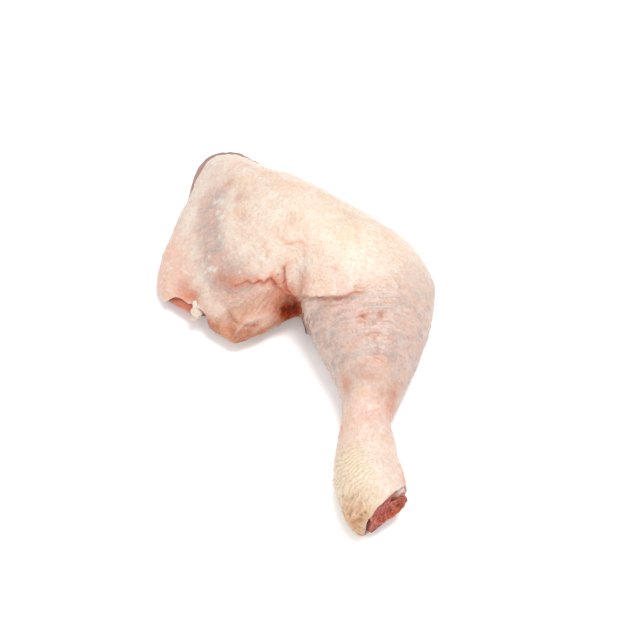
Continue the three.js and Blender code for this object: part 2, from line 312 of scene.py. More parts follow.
GROIN = [(-31, 16.4, 26.5), (-27.6, 15.9, 27), (-24.3, 16, 28.2), (-22, 16.6, 29.4), (-19.9, 15.4, 28.3),
         (-17, 16.2, 30), (-14.3, 15.4, 29.8), (-11.5, 16.8, 31.4)]
GROIN_TO_CROOK = [(-11.5, 16.8, 31.4), (-8.7, 14.6, 28.4), (-5.9, 13.3, 25.1), (-3.3, 12.4, 22.1),
                  (-1, 11.8, 19)]
INTO_CROOK = [(-5, 20.5, 36.5), (-5.2, 15.9, 30.9), (-4.7, 14.1, 27.5), (-2.2, 12.8, 23.9),
              (-0.1, 11.4, 18.4)]
ACROSS_KNEE = [(2.5, 9.2, 28.8), (6.2, 6.8, 32.1), (12.9, 3.9, 35.1), (17.9, 2.8, 37.8), (20.8, 2.5, 38.8),
               (25.4, 3.5, 40), (30, 3.6, 40.4)]

# The solids' three creases, narrower, shallower and more uneven than there, and smaller ones: the line, how
# deep and how wide the crease is, which side of it stands higher, by how much, and how red the crease is.
CREASES = [
    (GROIN[1:] + GROIN_TO_CROOK[1:], 0.6, 0.5, (0, 0.8, 0.6), 0.7, 0.9),
    (INTO_CROOK, 0.6, 0.6, (1, 0, 0.4), 0.7, 0.9),
    ([(-1.5, 12.6, 23.5)] + ACROSS_KNEE, 0.6, 0.5, (0, 1, 0.3), 1.2, 0.8),
    # Below the fold of the knee.
    ([(3, 6.6, 29), (8, 3, 32), (14, -0.4, 35.6), (19, -1.6, 38), (25.3, -2.3, 40), (33, -0.9, 40.5)],
     0.2, 0.6, (0, 1, 0), 0.3, 0.25),
    ([(24, 6.5, 40.6), (29, 5.4, 40.6), (34, 8, 40.5)], 0.3, 0.5, (0, 1, 0), 0.3, 0.25),
    ([(22, -8.5, 39.5), (29, -6, 41), (37, -6.5, 41), (45, -9.5, 39)],
     0.3, 0.6, (0, 1, 0), 0.3, 0.25),
    ([(24, -13.5, 39.5), (32, -11.5, 40.5), (41, -12.5, 40), (49, -16, 36)],
     0.3, 0.6, (0, 1, 0), 0.3, 0.25),
    ([(26, -19, 38.5), (34, -17.5, 39.5), (44, -19.5, 38)], 0.3, 0.6, (0, 1, 0), 0.3, 0.25),
    # Along the loose skin.
    ([(-33.5, 12.2, 20), (-31.4, 8.2, 17.4), (-29.5, 6, 14.7), (-26, 4, 13.5), (-20.4, 3.2, 12.3),
      (-15.9, 3, 10.4)], 1.0, 1.0, (0, 1, 0.5), 0.6, 0.25),
    ([(-34.5, 6.2, 13.4), (-31.5, 3, 11.3), (-26, 0.4, 9.2), (-20, 0.2, 7), (-14, 1.6, 6.4)],
     0.7, 1.0, (0, 1, 0.5), 0.4, 0.25),
    # Folds of the heel.
    ([(14.5, -86, 9), (19, -88.5, 17), (25, -86.5, 22), (30, -83, 23.5)],
     0.9, 1.1, (0, 1, 0.3), 0.7, 0.25),
    ([(16.5, -92, 8), (21, -92.5, 16.5), (26, -90.5, 20.5), (31, -88, 22.5)],
     0.9, 1.0, (0, 1, 0.3), 0.7, 0.25),
    ([(21, -96.5, 8), (24.5, -96, 14.5), (28, -94, 18)], 0.7, 0.9, (0, 1, 0.3), 0.6, 0.25),
]

# Where the thigh's skin ends over the knee, as y for each x. The drumstick's thin skin lies beyond.
KNEE_FOLD_X = [-2, 2.5, 6.2, 12.9, 17.9, 20.8, 25.4, 30, 39, 46, 52, 60]
KNEE_FOLD_Y = [12.8, 9.2, 6.8, 3.9, 2.8, 2.5, 3.5, 4, 10, 15, 20, 26]

# White fat that shows through the skin: where and how wide.
FAT_SPOTS = [
    ((-38.5, 61.2, 28.6), 1.7), ((-36, 60.2, 30.8), 0.9), ((-34.6, 58.2, 32.4), 1.6),
    ((-36.5, 53.5, 31), 1.1), ((-39.9, 57.4, 27.8), 0.9), ((-34.5, 49, 33), 1.4),
    ((-35.5, 39, 32), 0.9), ((-44.8, 35.1, 23.9), 1.3), ((-42.9, 29, 24.6), 1.5),
    ((-40, 32, 27.5), 1.0), ((-39.5, 25.5, 26.6), 1.4), ((-37, 23.8, 28), 1.5),
    ((-41.9, 24.8, 24.3), 0.9), ((-46.3, 40.6, 23), 1.0), ((-29.1, 43.3, 36.9), 0.9),
    ((-46, 12.5, 12.6), 1.8), ((-49, 14, 13.2), 1.3),
]


def from_line(p, line, reach):
    """How far a curve is, the share of the way along it and the vector from it, within reach."""
    STEPS = 60
    FAR = 1000.0
    points = catmull_rom(np.array(line, float), np.linspace(0, 1, STEPS))
    away = np.full(p.shape[:-1], FAR)
    share = np.zeros(p.shape[:-1])
    offset = np.full(p.shape, FAR)
    close = np.all((p > points.min(0) - reach) & (p < points.max(0) + reach), axis=-1)
    some = p[close]
    distance = np.linalg.norm(some[:, None] - points, axis=-1)
    index = distance.argmin(1)
    away[close] = distance[np.arange(len(some)), index]
    share[close] = index / (STEPS - 1)
    offset[close] = some - points[index]
    return away, share, offset


def crease_relief(p, widen=1.0):
    """Height that the creases add, and how red they make each point, 0..1."""
    REACH = 9
    LIP_REACH = 3.2
    wander = np.stack([noise(p, 4, 70 + k) for k in range(3)], -1) * 0.7
    height = np.zeros(p.shape[:-1])
    inside = np.zeros(p.shape[:-1])
    for line, depth, width, side, rise, redness in CREASES:
        away, share, offset = from_line(p + wander, line, REACH)
        fade = np.sin(np.pi * np.clip(share * 0.94 + 0.03, 0, 1)) ** 0.5
        lean = np.tanh((offset @ unit(side)) / (0.6 * width))
        groove = np.exp(-(away / (width * widen)) ** 1.5)
        lip = lean * np.exp(-(away / LIP_REACH) ** 2)
        height += fade * (rise * lip - depth * groove)
        inside = np.maximum(inside, fade * groove * redness)
    return height, inside


def below_knee_fold(p):
    """How far past the edge of the thigh's skin a point lies, towards the hock."""
    return np.interp(p[..., 0], KNEE_FOLD_X, KNEE_FOLD_Y) - p[..., 1]


def calf_area(p, soft=0.0):
    """1 on the drumstick beyond the fold of the knee. Its edge is soft towards the outside of the knee."""
    softness = soft * smoothstep(p[..., 0], 22, 38)
    below = smoothstep(below_knee_fold(p) + 0.4 + softness, 0, 1.2 + 2.4 * softness)
    return below * smoothstep(p[..., 0], 1, 4.5) * smoothstep(p[..., 1], -46, -24)


def calf_wrinkles(p):
    """Fine wrinkles that run across the calf, about 1 on their tops."""
    return 0.7 * ridged(p, (9, 2.1, 5), 21) + 0.3 * ridged(p, (4, 1.4, 3), 22)


def pimples(p):
    """The small bumps where feathers grew, 1 on the largest."""
    SPACING = 2.9
    WIDTH = 0.36  # as a share of the spacing
    away, number = cells(p, SPACING, 11)
    return np.exp(-(away / WIDTH) ** 2) * (0.3 + 0.7 * number)


def hock_rows(p):
    """Rows of soft scales round the inner side of the hock, 0 between two rows and 1 in the middle of one."""
    FAN = (47, -64)  # the point that the rows spread from
    SPACING = 0.075  # in radians
    angle = np.arctan2(FAN[1] - p[..., 1], FAN[0] - p[..., 0])
    rows = angle / SPACING + 0.7 * noise(p, 6, 41) + 0.3 * noise(p, 2, 42)
    return 1 - np.abs((rows % 1) * 2 - 1)


def skin_relief(p):
    """Height of lumps, wrinkles and pimples of the skin, in mm."""
    x, y, z = p[..., 0], p[..., 1], p[..., 2]
    on_calf = calf_area(p)
    on_thigh = 1 - on_calf
    on_shank = smoothstep(-y, 34, 42) * smoothstep(y, -72, -60)
    on_hock = smoothstep(-y, 56, 66) * smoothstep(37 - x, 0, 10)
    h = 0.42 * fractal(p, 17, 3) + 0.16 * fractal(p, 4.5, 5) - 0.25
    on_grey_patch = bump(p, (-38, 44, 28), (11, 30, 14))
    h += (0.3 * on_thigh + 0.24 * on_calf + 0.1 + 0.25 * on_grey_patch) * pimples(p)
    h += 0.16 * ridged(p, 1.9, 13)
    # Wrinkles across the calf and the shank.
    h += 0.4 * on_calf * calf_wrinkles(p)
    h += 0.26 * on_shank * ridged(p, (6, 2.2, 4), 23)
    # Small pleats gathered above the fold of the knee.
    pleats = bump(p, (13, 9, 36), (13, 8, 12)) * smoothstep(y, 0.5, 4)
    h += 0.22 * pleats * ridged(np.stack([x + 0.2 * y, y * 0.2, z * 0.2], -1), 2.6, 31)
    # Fine folds that run down from the groin over the loose skin.
    slant = np.stack([x - z, (x + z) * 0.22, y * 0.3], -1)
    h += 0.4 * bump(p, (-16, 10, 24), (15, 8, 8)) * ridged(slant, 2.4, 33)
    folds = np.stack([(x + y) * 0.3, x - y, z], -1)
    h += 0.55 * bump(p, (-24, 4, 12), (20, 10, 10)) * ridged(folds, (9, 7, 7), 35)
    h += on_hock * (0.42 * smoothstep(hock_rows(p), 0, 0.7) - 0.27)
    h += 0.22 * smoothstep(-y, 60, 70) * ridged(p, (2.6, 3.4, 4), 43)
    return h + 0.35 * sum(bump(p, at, (size, size, 3)) for at, size in FAT_SPOTS)


# ---- Colour zones of the skin ----

SKIN_MASKS = ["cream", "mauve", "pink", "yellow", "tan", "ochre", "flush", "blood", "olive", "fat",
              "wrinkle"]

# Thin skin over dark meat, beside the hip.
GREY_PATCH = [(-38.5, 63, 28), (-40.5, 52.5, 27.3), (-39.5, 42, 28.5), (-38.5, 32.5, 28.5),
              (-35.3, 24.5, 28.7), (-29, 18.3, 28.4), (-23, 16.8, 29)]
VEIN = [(-8.4, 36, 43.6), (-8.2, 32, 42.6), (-6.3, 30, 42.2), (-3, 28.5, 42.1), (1.2, 28.7, 43.1),
        (3.3, 25.5, 42.6), (3.7, 22.2, 41.2)]
SHORT_VEIN = [(-15.8, 31.7, 40.8), (-12.9, 26.2, 39.4), (-13, 23.9, 38)]
# Each line with the width and strength of the dark red along it, and of the flush round it.
RED_LINES = [
    (GROIN[1:], (0.5, 0.5), (2.2, 1.0)), (GROIN_TO_CROOK, (0.6, 0.6), (3.6, 1.2)),
    (INTO_CROOK, (0.6, 0.6), (3.0, 1.2)), (ACROSS_KNEE, (0.4, 0.4), (1.0, 0.5)),
    (VEIN, (0.35, 0.15), (0.9, 0.6)), (SHORT_VEIN, (0.35, 0.1), (0.9, 0.45)),
]
# Dark red spots: where, how wide and how strong. The first five lie in the crook. The first three are partly
# blood and partly painted shade, and the two higher ones above them are painted shade only.
BLOOD_AND_SHADE_SPOTS = [
    ((-4.4, 10.2, 14), (3.6, 5, 5.5), 1.5),
    ((-0.5, 10.5, 14), (3, 5, 7), 1.4),
    ((-8.6, 10, 15.5), (3, 4, 2.6), 0.4),
    ((-4, 12, 20), (4, 4, 3.5), 0.4),
    ((-1, 11.5, 20), (2.5, 4, 4.5), 0.65),
    ((-8.6, 17.4, 32.9), 0.5, 1.0),
    ((-31.5, 67.7, 33.3), 0.7, 0.45),
    ((-56, 61, 12.2), 0.6, 0.5),
    ((-46.7, 49.5, 22.5), 0.6, 0.5),
    ((29, -9.4, 41.1), (1.4, 0.8, 2), 0.5),
    ((36.6, -9.2, 41), (1, 0.7, 2), 0.35),
    ((35.4, -23.2, 38), 0.8, 0.4),
    ((17.9, 1.3, 37.8), 0.8, 0.6),
]
# Specks on the heel.
OLIVE_SPOTS = [(19.8, -84.9, 17.6), (28.9, -94.2, 20.3), (27, -94.8, 18.6), (26.9, -97.5, 12)]
# Warm blotches: where, how wide and how strong.
FLUSH_SPOTS = [
    ((-50, 17, 14.5), (4, 4, 3), 0.7), ((-55, 20, 13.5), (4, 3, 3), 0.5), ((-6, 14, 25), (4, 4, 7), 0.7),
    ((21.2, -33, 25), (3, 5, 5), 0.5), ((41.4, -42, 18), (3, 9, 6), 0.7), ((18, -52, 14), (3, 10, 6), 0.6),
    ((46.8, -72, 14), (2.0, 12, 6), 1.0), ((35.5, -28, 36), (4, 3, 4), 0.25),
    ((-31.5, 67.7, 33.3), (3, 3, 3), 0.3), ((3.5, 12, 33), (3, 8, 5), 0.35),
    ((-16, 10, 26), (12, 3, 4), 0.4), ((-8, 9, 19), (7, 6, 8), 0.6),
]
# Tan blotches: where, how wide and how strong. The first, in the crook, is partly painted shade.
TAN_AND_SHADE_SPOTS = [
    ((-3, 11, 18), 7.5, 1.2), ((-52, 23, 16.5), 4, 0.6), ((-47, 17, 15.5), 3.5, 0.7),
    ((-35, 18.5, 27), 5, 0.35), ((-28, 16, 28), 5, 0.35), ((-31.5, 17, 27.5), 4, 0.2),
    ((-26, 57, 38), 3.4, 0.3), ((-24.4, 45.2, 39.5), 3, 0.25), ((-0.9, 38.8, 45.1), 4, 0.2),
    ((10.3, 23.5, 43.9), 4, 0.2), ((17.1, 15.5, 41.7), 2.6, 0.25), ((24, 43.6, 41.5), 4, 0.2),
    ((-31.5, 67.7, 33.3), 4, 0.25), ((27, 5.5, 40.4), 2.5, 0.3), ((28, -32.5, 33), 4, 0.3),
    ((33, -35.3, 32.7), 3, 0.25), ((21.2, -35.6, 24.1), 4.5, 0.35), ((43, -37.2, 23.2), 4.5, 0.4),
    ((37.3, -40.8, 27.2), 2.5, 0.3), ((30, -51, 24.5), 3, 0.2), ((29, -9.4, 41.1), 2.6, 0.8),
    ((36.6, -9.2, 41), 2.2, 0.7), ((34, -19, 40), 2.4, 0.4),
]


def skin_masks(p):
    """How strongly each colour shows, 0..1."""
    x, y, z = p[..., 0], p[..., 1], p[..., 2]
    ragged = 0.3 * fractal(p, 8, 61)
    jitter = np.stack([noise(p, 1.7, 80 + k) for k in range(3)], -1) * 0.55
    cream = bump(p, (26, 34, 42), (34, 26, 30)) + 0.5 * bump(p, (-12, 52, 42), (20, 20, 20))
    from_patch = from_line(p + jitter * 2 + (1.5, 0, 0), GREY_PATCH, 20)[0]
    patch = 0.85 - 0.85 * smoothstep(from_patch + 7 * ragged, 4, 13)
    calf = calf_area(p, soft=8.0) * (1 - 0.55 * bump(p, (53, 12, 26), (9, 13, 16)))
    folds = np.stack([(x + y) * 0.3, x - y, z], -1)
    flap = smoothstep(-y, -16.5, -7) * smoothstep(-x, -2, 5) * smoothstep(x, -50, -42)
    shank = bump(p, (31, -46, 20), (24, 13, 30))
    left_flap = smoothstep(-x - 0.25 * y, 38, 47)
    right_of_hock = bump(p, (44, -72, 16), (6, 22, 12))
    hock = smoothstep(-y, 57, 70) * smoothstep(38 - x - 0.3 * (y + 75), 0, 14)
    heel = 1.5 * bump(p, (22, -99, 8), (11, 12, 15)) + 0.4 * hock * (1 - smoothstep(hock_rows(p), 0, 0.6))
    heel += 0.5 * bump(p, (28.5, -94, 19), (3, 3, 3))
    spots = sum(1.2 * strength * bump(p + jitter * 2, at, size) for at, size, strength in TAN_AND_SHADE_SPOTS)
    blood = np.zeros(p.shape[:-1])
    flush = sum(1.2 * strength * bump(p + jitter * 2, at, size) for at, size, strength in FLUSH_SPOTS)
    broken = np.clip(0.6 + 0.9 * noise(p, 2.4, 83), 0.1, 1)
    for line, (thin, dark), (wide, pale) in RED_LINES:
        away = from_line(p + jitter * 1.4, line, 8)[0]
        blood = np.maximum(blood, dark * np.exp(-(away / thin) ** 2) * broken)
        flush = np.maximum(flush, pale * np.exp(-(away / wide) ** 2) * (0.5 + 0.5 * broken))
    # The spots in the crook add painted shade there as well as blood.
    for at, size, strength in BLOOD_AND_SHADE_SPOTS:
        blood = np.maximum(blood, strength * bump(p + jitter, at, size))
    masks = {
        "cream": cream * 0.8 + ragged * 0.5,
        "mauve": patch + calf * (0.85 + 0.7 * ragged),
        "pink": 0.9 * left_flap + 0.8 * shank + 0.3 * right_of_hock
        + 0.7 * bump(p, (-12, 12, 22), (12, 7, 12)) + 0.3 * bump(p, (0, 24, 40), (8, 12, 14))
        + 0.55 * bump(p, (14, 9, 36), (16, 6, 10)) + ragged * 0.6,
        "yellow": hock * (0.85 + ragged * 0.5),
        # On the loose skin the tan grows stronger low down, which is painted shade; the tan itself is the
        # skin's own colour.
        "tan": flap * (0.6 - 0.35 * ridged(folds, (12, 7, 7), 35) + 0.2 * noise(p, 8, 85)
                       + 0.85 * smoothstep(-z, -15, -6)) * smoothstep(-z, -30, -18) + spots,
        "ochre": heel * (0.85 + ragged * 0.6),
        "flush": flush * (0.8 + ragged),
        "blood": blood,
        "olive": sum(bump(p + jitter * 0.4, at, 0.75) for at in OLIVE_SPOTS),
        "fat": 1.5 * sum(bump(p + jitter * 1.3, at, (size, size, 3)) for at, size in FAT_SPOTS)
        + pimples(p + jitter * 1.2) * (0.6 * patch + 0.4) - 0.25,
        "wrinkle": calf * smoothstep(calf_wrinkles(p + jitter), 0.25, 0.75),
    }
    return {name: np.clip(mask, 0, 1) for name, mask in masks.items()}


# ---- Meshes ----

class Surface:
    """Points with named values, and triangles between them."""

    def __init__(self, values, triangles):
        self.values = values
        self.triangles = triangles

    def clipped(self, field):
        """The part where the named value is above 0, cut exactly along 0."""
        f = self.values[field]
        tri = self.triangles
        keep = f[tri] > 0
        count = keep.sum(1)
        parts = [tri[count == 3]]
        pairs = []
        made = 0

        def crossing(inside, outside):
            nonlocal made
            pairs.append(np.stack([inside, outside], -1))
            made += len(inside)
            return len(f) + np.arange(made - len(inside), made)

        for lone_kept, chosen in ((True, count == 1), (False, count == 2)):
            some = tri[chosen]
            turn = np.argmax(keep[chosen] == lone_kept, axis=1)
            a, b, c = (some[np.arange(len(some)), (turn + k) % 3] for k in range(3))
            if lone_kept:
                parts.append(np.stack([a, crossing(a, b), crossing(a, c)], -1))
            else:
                ab, ac = crossing(b, a), crossing(c, a)
                parts.append(np.stack([ab, b, c], -1))
                parts.append(np.stack([ab, c, ac], -1))
        pairs = np.concatenate(pairs)
        unique, back = np.unique(np.sort(pairs, axis=1), axis=0, return_inverse=True)
        i, j = unique[:, 0], unique[:, 1]
        w = f[i] / (f[i] - f[j])
        values = {}
        for name, v in self.values.items():
            ww = w.reshape((-1,) + (1,) * (v.ndim - 1))
            values[name] = np.concatenate([v, v[i] * (1 - ww) + v[j] * ww])
        tri = np.concatenate(parts)
        tri = np.where(tri >= len(f), len(f) + back.reshape(-1)[np.maximum(tri - len(f), 0)], tri)
        tri = tri[(tri[:, 0] != tri[:, 1]) & (tri[:, 1] != tri[:, 2]) & (tri[:, 2] != tri[:, 0])]
        used = np.unique(tri)
        renumber = np.zeros(len(f) + len(i), int)
        renumber[used] = np.arange(len(used))
        return Surface({name: v[used] for name, v in values.items()}, renumber[tri])

    def rim(self):
        """Directed edges that belong to one triangle only."""
        t = self.triangles
        edges = np.concatenate([t[:, [0, 1]], t[:, [1, 2]], t[:, [2, 0]]])
        n = len(self.values["point"])
        forward = edges[:, 0] * n + edges[:, 1]
        backward = edges[:, 1] * n + edges[:, 0]
        return edges[~np.isin(forward, backward)]

    def thickened(self, inner_points, roundness=0.35):
        """A closed shell between these points and inner_points, with a rounded rim."""
        outer = self.values["point"]
        n = len(outer)
        rim = self.rim()
        ends = np.unique(rim)
        outward = np.zeros((n, 3))
        for a in (0, 1):
            along = outer[rim[:, 1]] - outer[rim[:, 0]]
            depth = inner_points[rim[:, a]] - outer[rim[:, a]]
            np.add.at(outward, rim[:, a], np.cross(depth, along))
        size = np.linalg.norm(outward[ends], axis=1, keepdims=True) + 1e-12
        thickness = np.linalg.norm(inner_points[ends] - outer[ends], axis=1, keepdims=True)
        bulge = outward[ends] / size * thickness * roundness
        middle = (outer[ends] + inner_points[ends]) / 2 + bulge
        place = np.zeros(n, int)
        place[ends] = 2 * n + np.arange(len(ends))
        a, b = rim[:, 0], rim[:, 1]
        strips = [
            [b, a, place[a]], [b, place[a], place[b]],
            [place[b], place[a], n + a], [place[b], n + a, n + b],
        ]
        triangles = np.concatenate([self.triangles, self.triangles[:, ::-1] + n]
                                   + [np.stack(s, -1) for s in strips])
        values = {name: np.concatenate([v, v, v[ends]]) for name, v in self.values.items()}
        values["point"] = np.concatenate([outer, inner_points, middle])
        values["inside"] = np.concatenate([np.zeros(n), np.ones(n), np.full(len(ends), 0.5)])
        return Surface(values, triangles)

    def object(self, name, material, masks=()):
        """A Blender object, in metres in the frame, with the masks as attributes."""
        mesh = bpy.data.meshes.new(name)
        points = (self.values["point"] + CROOK) * MM
        mesh.vertices.add(len(points))
        mesh.vertices.foreach_set("co", points.astype(np.float32).ravel())
        corners = self.triangles.astype(np.int32).ravel()
        mesh.loops.add(len(corners))
        mesh.loops.foreach_set("vertex_index", corners)
        mesh.polygons.add(len(self.triangles))
        mesh.polygons.foreach_set("loop_start", np.arange(0, len(corners), 3, dtype=np.int32))
        mesh.update(calc_edges=True)
        mesh.validate()
        mesh.shade_smooth()
        for mask in masks:
            layer = mesh.attributes.new(mask, "FLOAT", "POINT")
            layer.data.foreach_set("value", self.values[mask].astype(np.float32))
        mesh.materials.append(material)
        made = bpy.data.objects.new(name, mesh)
        bpy.context.scene.collection.objects.link(made)
        return made


def ring_triangles(rings, sides, ends=2):
    """Triangles of a grid of rings. The points run ring by ring, then comes an end point for the first ring
    and, with two ends, one for the last."""
    i, j = np.meshgrid(np.arange(rings - 1), np.arange(sides), indexing="ij")
    a = i * sides + j
    b = i * sides + (j + 1) % sides
    c, d = b + sides, a + sides
    parts = [np.stack([a, b, d], -1).reshape(-1, 3), np.stack([b, c, d], -1).reshape(-1, 3)]
    j = np.arange(sides)
    k = (j + 1) % sides
    end = (rings - 1) * sides
    parts.append(np.stack([np.full(sides, rings * sides), k, j], -1))
    if ends == 2:
        parts.append(np.stack([np.full(sides, rings * sides + 1), end + j, end + k], -1))
    return np.concatenate(parts)


def settled(p, lift=0.0):
    """Rests the surface on the table, with a soft turn where it meets it, inside the solids' outer box."""
    SOFT = 0.35
    q = np.clip(p, LOW, HIGH)
    z = p[..., 2]
    turned_up = (z + SOFT) ** 2 / (4 * SOFT) * (z > -SOFT) + lift
    q[..., 2] = np.where(z < SOFT, turned_up, np.minimum(z, HIGH[2]))
    return q


# ---- The pieces ----

def skin_depth(p):
    """How thick the skin is, with the fat under it."""
    return SKIN + HEEL_PAD["thickness"] * bump(p, HEEL_PAD["at"], HEEL_PAD["size"])


def make_skin(material):
    RINGS, SIDES = ((600, 360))
    INNER_LIFT = 0.3  # keeps the skin's inner face off the table
    THIN_EDGE, THIN_WIDTH = 0.55, 6  # the share of its thickness that the edge has, and how far in it thins
    base, normal = leg_grid(RINGS, SIDES)
    crease, fold = crease_relief(base)
    sunk = np.minimum(crease, 0)
    point = settled(base + normal * (crease + skin_relief(base))[..., None])
    inner = settled(base + normal * (sunk - skin_depth(base))[..., None], lift=INNER_LIFT)
    edge = base[..., 2] - skin_edge_height(base) + 0.9 * fractal(base, 7, 51)
    cut = -past(base, SKIN_CUT) + 0.35 * fractal(base, 5, 53)
    grids = {"point": point, "inner": inner, "base": base, "fold": fold, "edge": np.minimum(edge, cut)}
    values = {}
    for name, v in grids.items():
        flat = v.reshape((-1,) + v.shape[2:])
        values[name] = np.concatenate([flat, flat[:SIDES].mean(0, keepdims=True)])
    surface = Surface(values, ring_triangles(RINGS + 1, SIDES, ends=1)).clipped("edge")
    thin = THIN_EDGE + (1 - THIN_EDGE) * smoothstep(surface.values["edge"], 0, THIN_WIDTH)
    outer = surface.values["point"]
    shell = surface.thickened(outer + (surface.values["inner"] - outer) * thin[:, None])
    shell.values.update(skin_masks(shell.values["base"]))
    return shell.object("skin_jacket", material, ["inside", "fold", *SKIN_MASKS])


def make_flesh(material):
    RINGS, SIDES, CAP_RINGS = ((320, 240, 36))
    base, normal = leg_grid(RINGS, SIDES)
    edge = base[..., 2] - skin_edge_height(base)
    bare = 1 - smoothstep(edge, -2.6, -0.2)
    uneven = sum(place["depth"] * bump(base, place["at"], place["size"]) for place in BARE_UNEVEN)
    bare_depth = BARE_RECESS + uneven
    covered = skin_depth(base) + CLEARANCE
    lobes = 0.8 * ridged(base, (30, 16, 30), 91, 1) + 0.35 * fractal(base, (14, 5, 8), 93)
    strands = 0.3 * ridged(base, (9, 1.8, 3), 95)
    relief = bare * (np.minimum(lobes, 0.5) - 0.45 + strands)
    sunk = np.minimum(crease_relief(base, widen=1.6)[0], 0) * (1 - bare)
    gristle = 1.3 * bump(base, (46.5, -80.5, 14), (4, 5, 7))
    depth = covered + (bare_depth - covered) * bare - relief - sunk - gristle
    point = settled(base - normal * depth[..., None])
    # Each line of points from ring to ring is drawn out evenly up to the cut.
    beyond = past(point, FLESH_CUT)
    last = np.array([np.argmax(beyond[:, j] > 0) for j in range(SIDES)])
    j = np.arange(SIDES)
    share = beyond[last - 1, j] / (beyond[last - 1, j] - beyond[last, j])
    at = np.arange(RINGS + 1)[:, None] / RINGS * (last - 1 + share)
    low = np.minimum(np.floor(at).astype(int), RINGS - 1)
    w = at - low
    bare = bare[low, j] * (1 - w) + bare[low + 1, j] * w
    point = point[low, j] * (1 - w[..., None]) + point[low + 1, j] * w[..., None]
    loop = point[-1]
    centre = loop.mean(0)
    steps = np.arange(1, CAP_RINGS) / CAP_RINGS
    cap = loop + (centre - loop) * steps[:, None, None]
    rough = 0.5 * fractal(cap, 4, 97) + 0.35 * ridged(cap, (2, 5, 5), 98)
    cap = cap + unit(FLESH_CUT["normal"]) * (smoothstep(steps, 0, 0.25)[:, None] * rough)[..., None]
    grid = np.concatenate([point, cap])
    points = np.concatenate([grid.reshape(-1, 3), [grid[0].mean(0), centre]])
    rest = np.zeros(len(points) - bare.size)
    near_skin = smoothstep(points[:, 2] - skin_edge_height(points), -9, -4)
    values = {
        "point": points,
        "hock": np.concatenate([np.zeros(bare.size), rest + 1]),
        "gristle": bump(points, (45, -83, 17), (3.6, 4, 4)),
        "window": bump(points, (-52.5, 16, 8), (7, 7, 9)),
        # Grey on the flesh: painted shade in the gap under the loose skin's edge, and grey along the back of
        # the thigh; fainter further below the skin's edge.
        "grey_and_shade": np.clip(bump(points, (-40, 7, 8), (5, 6, 9)) + bump(points, (-38, 86, 14), (24, 20, 20))
                        + bump(points, (10, 80, 14), (50, 20, 20)), 0, 1) * (0.25 + 0.75 * near_skin),
    }
    surface = Surface(values, ring_triangles(len(grid), SIDES))
    return surface.object("flesh_core", material, ["hock", "gristle", "window", "grey_and_shade"])


BONE_LINE = np.array([(45.6, -103.6, 11), (40.1, -88.6, 11), (34, -70, 11), (31, -45, 12), (32, -20, 16),
                      (32, 2, 19.5)])
# Half sizes across and up, at the two ends and between them.
BONE_HOCK, BONE_SHAFT, BONE_KNEE = (8.5, 4.9), (4.6, 4.6), (9.5, 9.5)


def bone_rings(rings, sides):
    """Rings of the shin bone from its cut face inwards."""
    STEPS = 2000
    u = np.linspace(0, 1, STEPS + 1)
    line = catmull_rom(BONE_LINE, u)
    length = np.r_[0, np.cumsum(np.linalg.norm(np.diff(line, axis=0), axis=1))]
    start = length[np.argmax(past(line, BONE_CUT) < 0)]
    angle = np.arange(sides) / sides * 2 * np.pi
    knuckles = 1 + 0.05 * np.cos(2 * angle + 0.6) + 0.03 * np.cos(3 * angle)
    loops = []
    for distance in np.linspace(start, length[-1] - 0.5, rings):
        at = np.interp(distance, length, u)
        centre, ahead = catmull_rom(BONE_LINE, np.array([at, min(at + 0.002, 1)]))
        along = unit((ahead - centre) * (1, 1, 0))
        share = distance / length[-1]
        at_hock = 1 - smoothstep(share, 0.12, 0.42)
        at_knee = smoothstep(share, 0.75, 0.93)
        across, up = (s + (h - s) * at_hock + (k - s) * at_knee
                      for h, s, k in zip(BONE_HOCK, BONE_SHAFT, BONE_KNEE))
        side = np.array([-along[1], along[0], 0])
        loop = centre + np.outer(across * np.cos(angle) * knuckles, side)
        loop[:, 2] += up * np.sin(angle) * knuckles
        if not loops:
            loop -= np.outer(past(loop, BONE_CUT) / (along @ unit(BONE_CUT["normal"])), along)
        loops.append(loop + 0.12 * noise(loop, 2.5, 101)[:, None] * (loop - centre) / 6)
    return np.array(loops)


def make_bone(material):
    RINGS, SIDES, CAP_RINGS = 60, 120, 34
    ALONG_SEAM = (0.8, 0.6, 0)  # the dark seam runs across the cut face about this way
    SEAM = 1.1  # its half width
    rings = bone_rings(RINGS, SIDES)
    centre = rings[0].mean(0)
    share = (np.arange(1, CAP_RINGS) / CAP_RINGS)[:, None]
    cap = centre + (rings[0] - centre) * share[..., None]
    grid = np.concatenate([cap, rings])
    points = np.concatenate([grid.reshape(-1, 3), [centre, rings[-1].mean(0)]])
    out = np.r_[np.repeat(share.ravel(), SIDES), np.ones(RINGS * SIDES), 0, 1]
    on_face = np.r_[np.ones(cap.size // 3), np.zeros(RINGS * SIDES), 1, 0]
    across_seam = unit(np.cross(unit(BONE_CUT["normal"]), ALONG_SEAM))
    from_middle = (points - centre) @ across_seam
    seam = np.exp(-(from_middle / SEAM - 0.5 * noise(points, 4, 105)) ** 2)
    away, number = cells(points, (1.3, 1.3, 1.0), 103)
    pits = np.exp(-(away / 0.4) ** 2) * (number > 0.25) * seam * (1 - smoothstep(out, 0.65, 0.88)) * on_face
    ridge = smoothstep(out, 0.72, 0.88) * (1 - smoothstep(out, 0.94, 1))
    height = 0.5 * ridge + 0.3 * fractal(points, 2.2, 107) - 0.6 * pits - 0.3 * seam
    points = points + np.outer(height * on_face * (1 - smoothstep(out, 0.95, 1)), unit(BONE_CUT["normal"]))
    values = {"point": points, "marrow": np.clip(1.3 * pits, 0, 1), "rim": smoothstep(out, 0.74, 0.95)}
    surface = Surface(values, ring_triangles(len(grid), SIDES))
    return surface.object("shin_bone_end", material, ["marrow", "rim"])


SHRED_LINE = np.array([(-46.5, 15, 14.8), (-45.6, 12.3, 12), (-46.2, 10.6, 9), (-48.4, 10.6, 6.4)])


